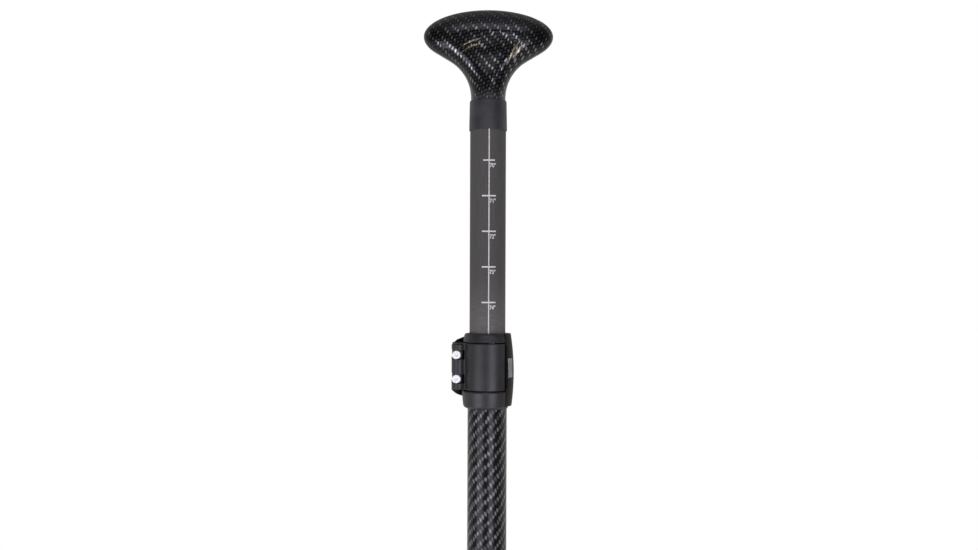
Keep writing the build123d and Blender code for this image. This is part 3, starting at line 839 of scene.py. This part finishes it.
def on_tube(x, z, radius):
    """Point of the tube's front at a width along its girth from the scale's line."""
    angle = SCALE_AZIMUTH + x / TUBE_RADIUS
    return np.stack([radius * np.sin(angle), -radius * np.cos(angle), z], axis=-1)


def ink_strip(name, left, right, bottom, top, material):
    """Thin printed rectangle hugging the tube."""
    columns = max(3, int((right - left) / INK_STEP) + 1)
    x, z = np.meshgrid(np.linspace(left, right, columns), np.array([bottom, top]))
    outer = on_tube(x, z, INK_RADIUS)
    inner = on_tube(x, z, INK_ROOT)
    closed_sheet(name, outer, inner, "extension", material)


def ink_number(name, text, left, top, material):
    """Printed numerals hugging the tube, their top left corner at a place."""
    curve = bpy.data.curves.new(name, "FONT")
    curve.body = text
    curve.size = NUMBER_SIZE
    curve.offset = NUMBER_BOLDNESS
    holder = bpy.data.objects.new(name, curve)
    bpy.context.scene.collection.objects.link(holder)
    mesh = bpy.data.meshes.new_from_object(holder)
    bpy.data.objects.remove(holder)
    work = bmesh.new()
    work.from_mesh(mesh)
    bmesh.ops.triangulate(work, faces=work.faces)
    for _ in range(NUMBER_SPLITS):
        long_edges = [edge for edge in work.edges if edge.calc_length() > NUMBER_FINENESS]
        if long_edges:
            bmesh.ops.subdivide_edges(work, edges=long_edges, cuts=1)
            bmesh.ops.triangulate(work, faces=work.faces)
    highest = max(vert.co.y for vert in work.verts)
    grown = bmesh.ops.extrude_face_region(work, geom=list(work.faces))
    raised = {item for item in grown["geom"] if isinstance(item, bmesh.types.BMVert)}
    for vert in work.verts:
        x = left + vert.co.x * NUMBER_NARROWING
        z = top + vert.co.y - highest
        vert.co = on_tube(np.array(x), np.array(z), INK_RADIUS if vert in raised else INK_ROOT)
    work.to_mesh(mesh)
    work.free()
    finish_piece(name, mesh, "extension", material)


def build_scale(material):
    """Length scale: one long line, a tick at each inch and its number."""
    tube_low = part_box("extension_tube")[0].z
    sleeve_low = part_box("handle_sleeve")[0].z
    ink_strip("scale_line", -LINE_HALF, LINE_HALF, tube_low + LINE_START,
              sleeve_low + LINE_UNDER_SLEEVE, material)
    for inches in range(FIRST_INCH, LAST_INCH + 1):
        height = FIRST_MARK - (inches - FIRST_INCH) * INCH
        reach = TICK_REACH * (FIRST_TICK_SHARE if inches == FIRST_INCH else 1.0)
        low, high = height - TICK_HALF, height + TICK_HALF
        ink_strip(f"scale_tick_{inches}", -reach, -LINE_HALF, low, high, material)
        ink_strip(f"scale_tick_{inches}_right", LINE_HALF, reach, low, high, material)
        ink_number(f"scale_number_{inches}", f'{inches}"', NUMBER_SIDE, height - NUMBER_DROP, material)


# ------------------------------------------------------------------ stage

FLOOR_RADIUS = 3.0
FLOOR_DROP = 1 * MM
FLOOR_SIDES = 96
FLOOR_GREY = 0.9
FLOOR_ROUGHNESS = 0.8
FLOOR_GLOW = 0.45


def build_floor():
    """Pale floor under the blade's tip."""
    mesh = bpy.data.meshes.new("floor")
    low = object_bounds()[0][2] - FLOOR_DROP
    rim = [(FLOOR_RADIUS * math.cos(turn), FLOOR_RADIUS * math.sin(turn), low)
           for turn in np.linspace(0, 2 * math.pi, FLOOR_SIDES + 1)[:-1]]
    mesh.from_pydata(rim, [], [tuple(range(len(rim)))])
    graph = Surface("pale_floor")
    graph.set(Base_Color=grey(FLOOR_GREY), Roughness=FLOOR_ROUGHNESS,
              Emission_Color=grey(1.0), Emission_Strength=FLOOR_GLOW)
    mesh.materials.append(graph.material)
    floor = bpy.data.objects.new("floor", mesh)
    bpy.context.scene.collection.objects.link(floor)


def main():
    """Put the looks together."""
    bpy.context.scene.view_settings.view_transform = "Standard"
    add_camera()
    add_world()
    for box in SOFT_BOXES:
        add_area(*box)
    build_floor()
    build_handle(grip_carbon())
    foam = plastic(*FOAM)
    build_core(foam)
    build_scale(printed_ink())
    dress_cad(foam)


main()
